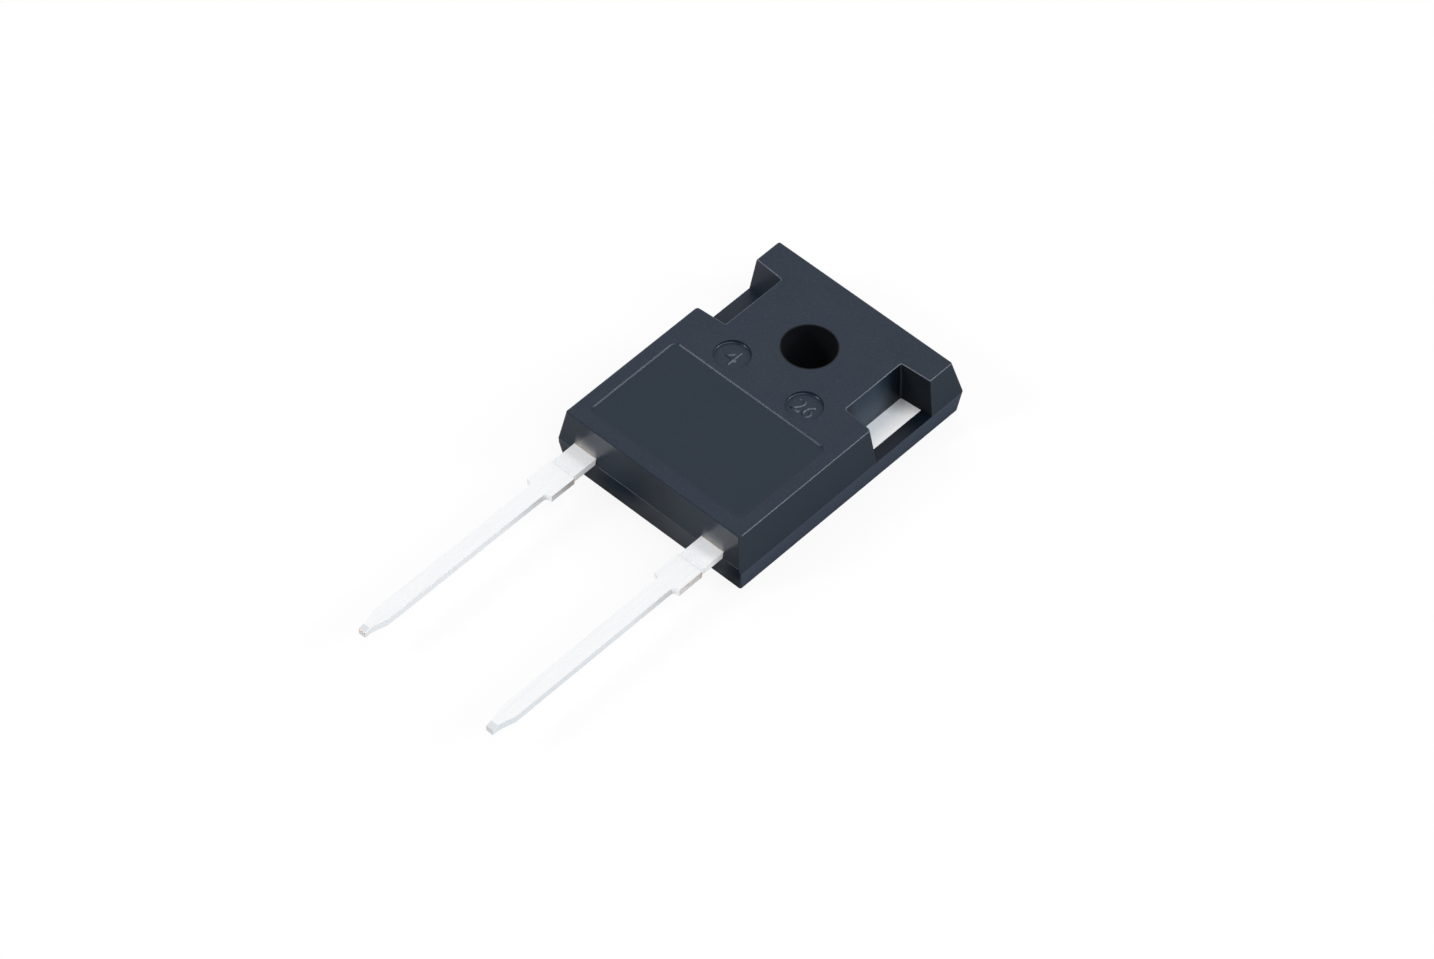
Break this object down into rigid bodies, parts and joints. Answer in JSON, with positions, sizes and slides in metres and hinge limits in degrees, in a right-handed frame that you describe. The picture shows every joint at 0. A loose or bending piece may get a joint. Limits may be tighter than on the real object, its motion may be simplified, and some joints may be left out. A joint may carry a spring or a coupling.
{
  "type": "silicon carbide schottky diode",
  "caption": "Flat power diode: drafted black moulding with a screw hole and a notch in each long side, a bare metal heat-sink pad behind, and straight flat tinned leads at one end.",
  "frame": {"origin": "on the axis of the screw hole, in the heat-sink face that the part lies on", "axes": "+Z out of the marked face, +Y towards the end with the screw hole, leads towards -Y with the cathode at -X and the anode at +X"},
  "size_m": [0.0156, 0.0409, 0.005],
  "materials": {
    "mould_compound": "dark blue-grey epoxy mould compound, fine satin",
    "tinned_copper": "copper strip with matt tin plating",
    "silicon_carbide": "silicon carbide chip with a metallised top",
    "solder": "soft solder",
    "bond_aluminium": "bare drawn aluminium wire"
  },
  "bodies": {
    "root": {"mould_body": "mould_compound", "cathode_tab": "tinned_copper", "anode_lead": "tinned_copper", "sic_die": "silicon_carbide", "die_solder": "solder", "bond_wire_1": "bond_aluminium", "bond_wire_2": "bond_aluminium", "bond_wire_3": "bond_aluminium"}
  },
  "joints": []
}
